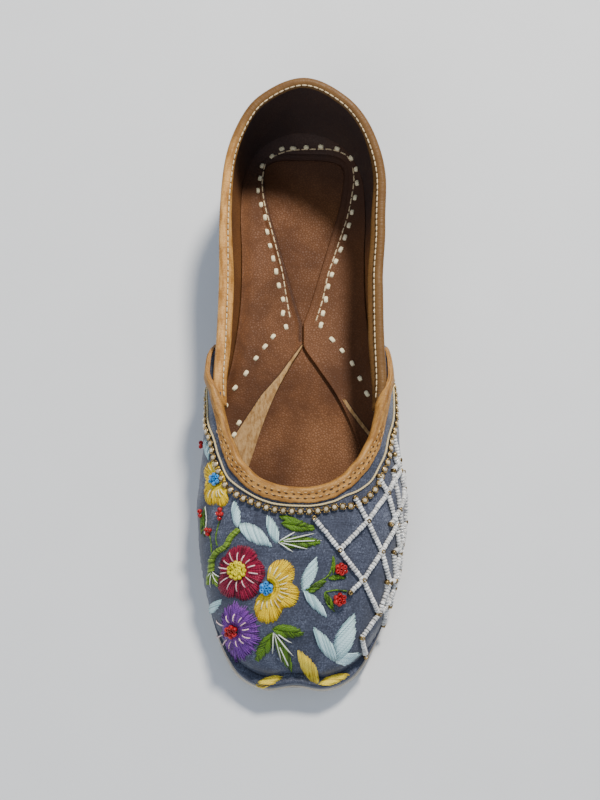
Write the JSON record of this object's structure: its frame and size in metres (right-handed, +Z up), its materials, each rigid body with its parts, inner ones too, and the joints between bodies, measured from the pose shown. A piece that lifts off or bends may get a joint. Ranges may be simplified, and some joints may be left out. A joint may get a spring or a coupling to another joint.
{
  "type": "mojari shoe",
  "caption": "Flat slip-on shoe with a low rounded vamp, an open collar rising to the heel, bound edges, an embroidered cloth upper and a thin leather sole.",
  "frame": {"origin": "centre of the bounding box's bottom face, on the floor that the sole stands on", "axes": "+Y from toe to heel, +Z up, +X to the right seen from above with the toe at the bottom"},
  "size_m": [0.086, 0.248, 0.0582],
  "materials": {
    "sole_leather": "natural undyed leather, matt",
    "slate_silk": "slate grey raw silk over leather",
    "brown_lining": "smooth brown leather",
    "tan_binding": "tan leather"
  },
  "bodies": {
    "root": {"outsole": "sole_leather", "insole": "brown_lining", "sock_flap_left": "brown_lining", "sock_flap_right": "brown_lining", "upper": "slate_silk", "collar_binding": "tan_binding", "throat_binding": "tan_binding", "wing_binding_left": "tan_binding", "wing_binding_right": "tan_binding"}
  },
  "joints": []
}
